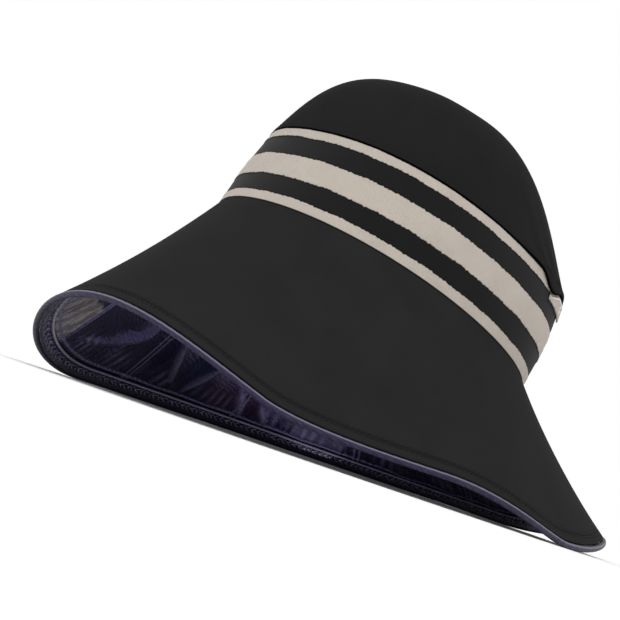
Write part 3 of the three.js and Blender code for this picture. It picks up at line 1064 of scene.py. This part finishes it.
# Lining: gathered panels with a seam between each two, one long fold in each, and a puckered hem
LINING_COLUMNS = 1100
SEAM_CROWDING = 0.45
PANEL_GATHER = np.array([0.7, 0.9, 0.5, 0.8, 1.0, 0.6, 0.9, 0.7, 0.7, 0.22, 0.35, 0.8])
PANEL_FOLD = np.array([0.5, 0.3, 0.8, 0.4, 0.3, 0.7, 0.3, 0.3, 0.0, 1.0, 0.5, 0.4])
LINING_RADII = (92, 66)
SEAM_HOLD = 7
HEM_HOLD = 14

# Long fold of a panel: where it starts and how far it runs, its path across, its breadth, height and crest
FOLD_START = 0.56
FOLD_RUN = 0.37
FOLD_PATH = (0.24, 0.06, 0.62)
FOLD_BREADTH = (0.03, 0.11)
LONG_FOLD_HEIGHT = 4.6
FOLD_CREST = 14

# Finger-like folds above the hem: angle at the top and the foot, start and end, half width in degrees, height
FINGERS = (
    (276, 269, 0.58, 0.92, 1.9, 2.6),
    (261.5, 265, 0.68, 0.96, 1.5, 2.2),
    (252.5, 249, 0.74, 0.98, 1.9, 2.4),
    (246, 242.5, 0.80, 0.98, 1.6, 2.0),
)


def lining_angles():
    """Angles of the columns, closer together by the panel seams."""
    even = angles_round(LINING_COLUMNS)
    return even - SEAM_CROWDING * np.sin(PANELS * (even - PANEL_START)) / PANELS


def panel_place(angle):
    """Number of the panel, and place across it from zero to one."""
    place = (angle - PANEL_START) / TURN * PANELS % PANELS
    return place.astype(int) % PANELS, place % 1


def held_by_seams(place):
    """None at a panel's seams, all away from them: a squared ramp."""
    return np.clip(np.minimum(place, 1 - place) * SEAM_HOLD, 0, 1) ** 2


def panel_seam(angle, along):
    """Two rounded ridges beside a groove, at the nearest panel seam."""
    radius = LINING_RADII[0] + LINING_RADII[1] * along
    place = panel_place(angle)[1]
    away = np.minimum(place, 1 - place) * TURN / PANELS * radius
    return 0.6 * ridge_at(away, 1.5, 0.8) * np.clip(along * 8, 0, 1)


def long_fold(angle, along):
    """Relief and crest of each panel's lens-shaped fold, whose middle bends towards one seam by the hem."""
    panel, place = panel_place(angle)
    t = np.clip((along - FOLD_START) / FOLD_RUN, 0, 1)
    bow = np.sin(math.pi * t)
    middle = FOLD_PATH[0] + FOLD_PATH[1] * t + FOLD_PATH[2] * t**2
    breadth = FOLD_BREADTH[0] + FOLD_BREADTH[1] * bow
    towards_hem = np.clip(0.5 - 0.5 * (place - middle) / breadth, 0, 1)
    ramp = towards_hem - 0.06 * np.sin(TURN * towards_hem)
    drop = hump(np.clip((towards_hem - 0.78) / 0.22, 0, 1))
    size = PANEL_FOLD[panel] * bow**0.6
    return LONG_FOLD_HEIGHT * size * ramp * drop, size * FOLD_CREST * towards_hem**8 * (1 - towards_hem)


def fingers(angle, along):
    """Humps across lines that lean as they run down, times a sine along, and how near a crest a place is."""
    relief = 0.0
    crest = 0.0
    for top, foot, start, end, breadth, height in FINGERS:
        t = np.clip((along - start) / (end - start), 0, 1)
        bow = np.sin(math.pi * t)
        middle = np.radians(top + (foot - top) * t)
        shape = hump(turn_from(angle, middle) / (np.radians(breadth) * (0.6 + 0.4 * bow)))
        relief = relief + height * shape * bow**0.6
        crest = np.maximum(crest, shape**0.8 * bow**0.4)
    return relief, crest


def fine_folds(angle, along):
    """Fine folds: a cosine that slants across the slope, from zero to one, raised to a power."""
    return swing(144 * angle - 9 * along + 3.5 * drift(angle, along, *FINE_FOLD_DRIFT)) ** 1.5


def lining_crest(angle, along):
    """How far the cloth stands out as a crest, which sets the painted highlight: long folds, fingers, and the
    fine folds just above the hem.
    """
    held = held_by_seams(panel_place(angle)[1])
    uneven = swing(31 * angle + 3 * drift(angle, along, *CREST_DRIFT))
    near_hem = hump((along - 0.9) / 0.11) * held * uneven
    long_crest = np.maximum(fingers(angle, along)[1], long_fold(angle, along)[1])
    return np.maximum(long_crest, fine_folds(angle, along) ** 1.5 * near_hem)


def lining_folds(angle, along):
    """Slanting gathers times a sine down the slope, plus finer folds, hem ridge, seams and long folds."""
    panel, place = panel_place(angle)
    held = held_by_seams(place)
    gather = PANEL_GATHER[panel] * held
    wander = 0.5 * drift(angle, along, *GATHER_DRIFT)
    main = swing(GATHERS * angle + GATHER_SLANT * TURN * along + wander) ** 1.3
    full = np.sin(math.pi * np.clip(along, 0, 1)) ** 0.55
    fine = fine_folds(angle, along)
    hem = np.exp(-(1 - along) * HEM_HOLD)
    seam = np.exp(-along * 9)
    near = hem * (1 - hem) * 2.4 + 0.5 * seam + 0.25 * gather
    close = 0.9 * fine * held * near * np.clip((1 - along) * HEM_HOLD, 0, 1)
    ridge = 1.1 * ridge_at((1 - along) * LINING_DEEP, HEM_LINE, 0.85)
    sewing_and_painted_shade = close + ridge + panel_seam(angle, along)
    return GATHER_DEPTH * main * gather * full + sewing_and_painted_shade + long_fold(angle, along)[0] + fingers(angle, along)[0]


def lining():
    """Folded rows from the seam to the hem, close together by the hem, and plain rows back outside."""
    down = joined(np.linspace(0, 0.5, 20), np.linspace(0.51, 0.94, 44), np.linspace(0.945, 1, 14))
    back = np.linspace(1, 0, 5)
    along = joined(down, back)
    a, s = np.meshgrid(lining_angles(), along)
    folds = lining_folds(a, s)
    base = joined(STACK + 0 * down, LINING_TOP + 0 * back)
    eased = folds * (1 - 0.15 * (base[:, None] < STACK))
    points = brim_point(a, s, LINING_END + 0 * a, base[:, None] + eased)
    uv = np.stack([girth_run(a, LINING_GIRTH), s * LINING_DEEP], -1)
    return store(ring_shell("lining_cloth", points, uv), "crest", lining_crest(a, s))


finish_piece(lining(), "brim_lining", LINING)


def roll_reach(depth):
    """Distance from the run's foot at which a layer meets the roll."""
    return np.sqrt((EDGE_RADIUS + ROLL_GAP) ** 2 - (depth - STACK / 2) ** 2)


HEM_MIDDLE = 6
HEM_GROOVE = 7.9
HEM_PROUD = 0.25
HEM_GIRTH = 990


def hem_relief(angle, away):
    """Ridge of the top edge less a groove, plus puckers: a cosine round whose slant leans to and fro."""
    lean = 0.55 * (away - HEM_MIDDLE) * np.cos(13 * angle + 2 * drift(angle, 0, *HEM_LEAN_DRIFT))
    crinkle = swing(150 * angle + lean + 2.4 * drift(angle, 0, *CRINKLE_DRIFT)) ** 1.6
    edge = 1.05 * ridge_at(away, HEM_TOP, 0.75) - 0.3 * ridge_at(away, HEM_GROOVE, 0.4)
    return 0.7 * crinkle * hump((away - HEM_MIDDLE) / 4) + edge


def lining_hem():
    """Puckered rows from the hem's top edge to the roll, round its cut edge and back outside."""
    across = np.linspace(HEM_START, roll_reach(STACK), 32)
    end_depth = np.linspace(STACK, LINING_TOP, 4)[1:]
    back = np.linspace(roll_reach(LINING_TOP), HEM_START, 4)[1:]
    away = joined(across, roll_reach(end_depth), back)
    rounded_top = STACK + HEM_PROUD - rounded(HEM_START - across, 0.4)
    base = joined(rounded_top, end_depth, LINING_TOP + 0 * back)
    a, d = np.meshgrid(lining_angles(), away)
    face = (np.arange(len(away)) < len(across))[:, None]
    fade = np.clip((away - across[-1]) / 1.5, 0, 1)[:, None]
    depth = base[:, None] + (hem_relief(a, d) - HEM_PROUD * (1 - fade)) * face * fade
    points = brim_point(a, 1 + 0 * a, d, depth)
    uv = np.stack([girth_run(a, HEM_GIRTH), d], -1)
    return ring_shell("lining_hem_cloth", points, uv)


finish_piece(lining_hem(), "lining_hem", HEM)


HEM_STITCH_DEPTH = STACK + 0.35
hem_lines = brim_lines(HEM_STITCH_DEPTH, lambda angle: -brim_up(angle))
hem_stitching = stitches("hem_stitching", hem_lines, pitch=2.9, length=2.2, thick=0.4, arch=0.16)
finish_piece(hem_stitching, None, LINING_THREAD)


# Rolled edge: a tube about the rim, slightly uneven, with small slanting creases
ROLL_COLUMNS = 900
ROLL_SIDES = 24
ROLL_GIRTH = 1012
ROLL_UNEVEN = 0.05
CREASE_DEPTH = 0.1


def rolled_edge():
    """Circle of the roll's radius, less its creases, carried round the rim and kept above the floor."""
    corner = np.arange(ROLL_SIDES) * TURN / ROLL_SIDES
    angle = angles_round(ROLL_COLUMNS)
    a, c = np.meshgrid(angle, corner)
    crease = swing(170 * a + 2 * c + 2 * drift(a, 0, *ROLL_CREASE_DRIFT)) ** 2
    uneven = ROLL_UNEVEN * drift(a, 0, *ROLL_DRIFT)
    radius = EDGE_RADIUS + uneven - CREASE_DEPTH * crease * swing(c - QUARTER)
    out = np.cross(rim_tangent(a), (0.0, 0.0, 1.0))
    points = edge_centre(a) + out * (radius * np.cos(c))[..., None]
    points[..., 2] += radius * np.sin(c)
    points[..., 2] = np.maximum(points[..., 2], 0)
    uv = np.stack([girth_run(a, ROLL_GIRTH), c * EDGE_RADIUS], -1)
    return ring_shell("rolled_edge_cloth", points, uv, (0, TURN * EDGE_RADIUS))


finish_piece(rolled_edge(), "brim_edge", ROLL)


# Floor, light and camera
FLOOR_GLOW = 0.04
WHITE = (1, 1, 1, 1)
FLOOR_HALF = 9.0


def floor():
    """Pale square floor at the height that the hat rests on."""
    mesh = bpy.data.meshes.new("floor")
    corners = [(x * FLOOR_HALF, y * FLOOR_HALF, 0) for x, y in ((-1, -1), (1, -1), (1, 1), (-1, 1))]
    mesh.from_pydata(corners, [], [(0, 1, 2, 3)])
    made = add_object("floor", mesh)
    paint = Finish("pale_floor")
    sockets = {"Base Color": grey(0.97), "Roughness": 0.9, "Emission Strength": FLOOR_GLOW}
    shader = paint.node("ShaderNodeBsdfPrincipled", inputs={**sockets, "Emission Color": WHITE})
    paint.node("ShaderNodeOutputMaterial", inputs={"Surface": shader})
    mesh.materials.append(paint.material)


floor()

# Lamps: name, azimuth, elevation, distance, size, power and the point that each faces
LAMPS = (
    ("key", 350, 50, 2.2, (1.2, 1.2), 5, (0, 0, 0.1)),
    ("fill", 42, 4, 2.4, (1.6, 0.8), 10, (0, 0, 0.1)),
    ("under_brim", 80, -60, 0.042, (0.2, 0.05), 0.035, (-0.075, -0.015, 0.05)),
    ("under_gathers", 0, -89, 0.04, (0.06, 0.08), 0.009, (-0.085, 0.075, 0.044)),
)


def soft_light(name, azimuth, elevation, distance, size, power, target):
    """Rectangular lamp at an angle round the hat, facing a point; unseen by the camera itself."""
    a = math.radians(azimuth)
    e = math.radians(elevation)
    back = Vector((math.sin(a) * math.cos(e), -math.cos(a) * math.cos(e), math.sin(e)))
    lamp = bpy.data.lights.new(name, "AREA")
    lamp.shape = "RECTANGLE"
    lamp.size, lamp.size_y = size
    lamp.energy = power
    made = add_object(name, lamp)
    made.location = Vector(target) + back * distance
    made.rotation_mode = "QUATERNION"
    made.rotation_quaternion = back.to_track_quat("Z", "Y")
    made.visible_camera = False


for lamp_settings in LAMPS:
    soft_light(*lamp_settings)

world = bpy.data.worlds.new("studio")
world.use_nodes = True
background = world.node_tree.nodes["Background"].inputs
background["Color"].default_value = WHITE
background["Strength"].default_value = 1.0
bpy.context.scene.world = world
bpy.context.scene.view_settings.view_transform = "Standard"

# Camera: the photograph's direction and roll, just above the floor
CAMERA_AZIMUTH = math.radians(45)
CAMERA_DISTANCE = 1.2
CAMERA_HEIGHT = 0.008
CAMERA_ROLL = math.radians(18.9)
AIM_ACROSS = -0.0284
AIM_HEIGHT = 0.0756
FOCAL_PIXELS = 2250
IMAGE_SIZE = 620
SENSOR = 36.0


def set_camera():
    """Camera on its azimuth, aimed at a point over the hat's middle, then rolled about its line of sight."""
    across = Vector((math.cos(CAMERA_AZIMUTH), math.sin(CAMERA_AZIMUTH), 0))
    place = Vector((math.sin(CAMERA_AZIMUTH), -math.cos(CAMERA_AZIMUTH), 0)) * CAMERA_DISTANCE
    place.z = CAMERA_HEIGHT
    aim = across * AIM_ACROSS + Vector((0, 0, AIM_HEIGHT))
    turned = (place - aim).to_track_quat("Z", "Y").to_matrix() @ Matrix.Rotation(CAMERA_ROLL, 3, "Z")
    lens = bpy.data.cameras.new("camera")
    lens.sensor_width = SENSOR
    lens.lens = FOCAL_PIXELS * SENSOR / IMAGE_SIZE
    lens.clip_start = 0.01
    lens.clip_end = 50
    made = add_object("camera", lens)
    made.matrix_world = Matrix.Translation(place) @ turned.to_4x4()
    bpy.context.scene.camera = made


set_camera()
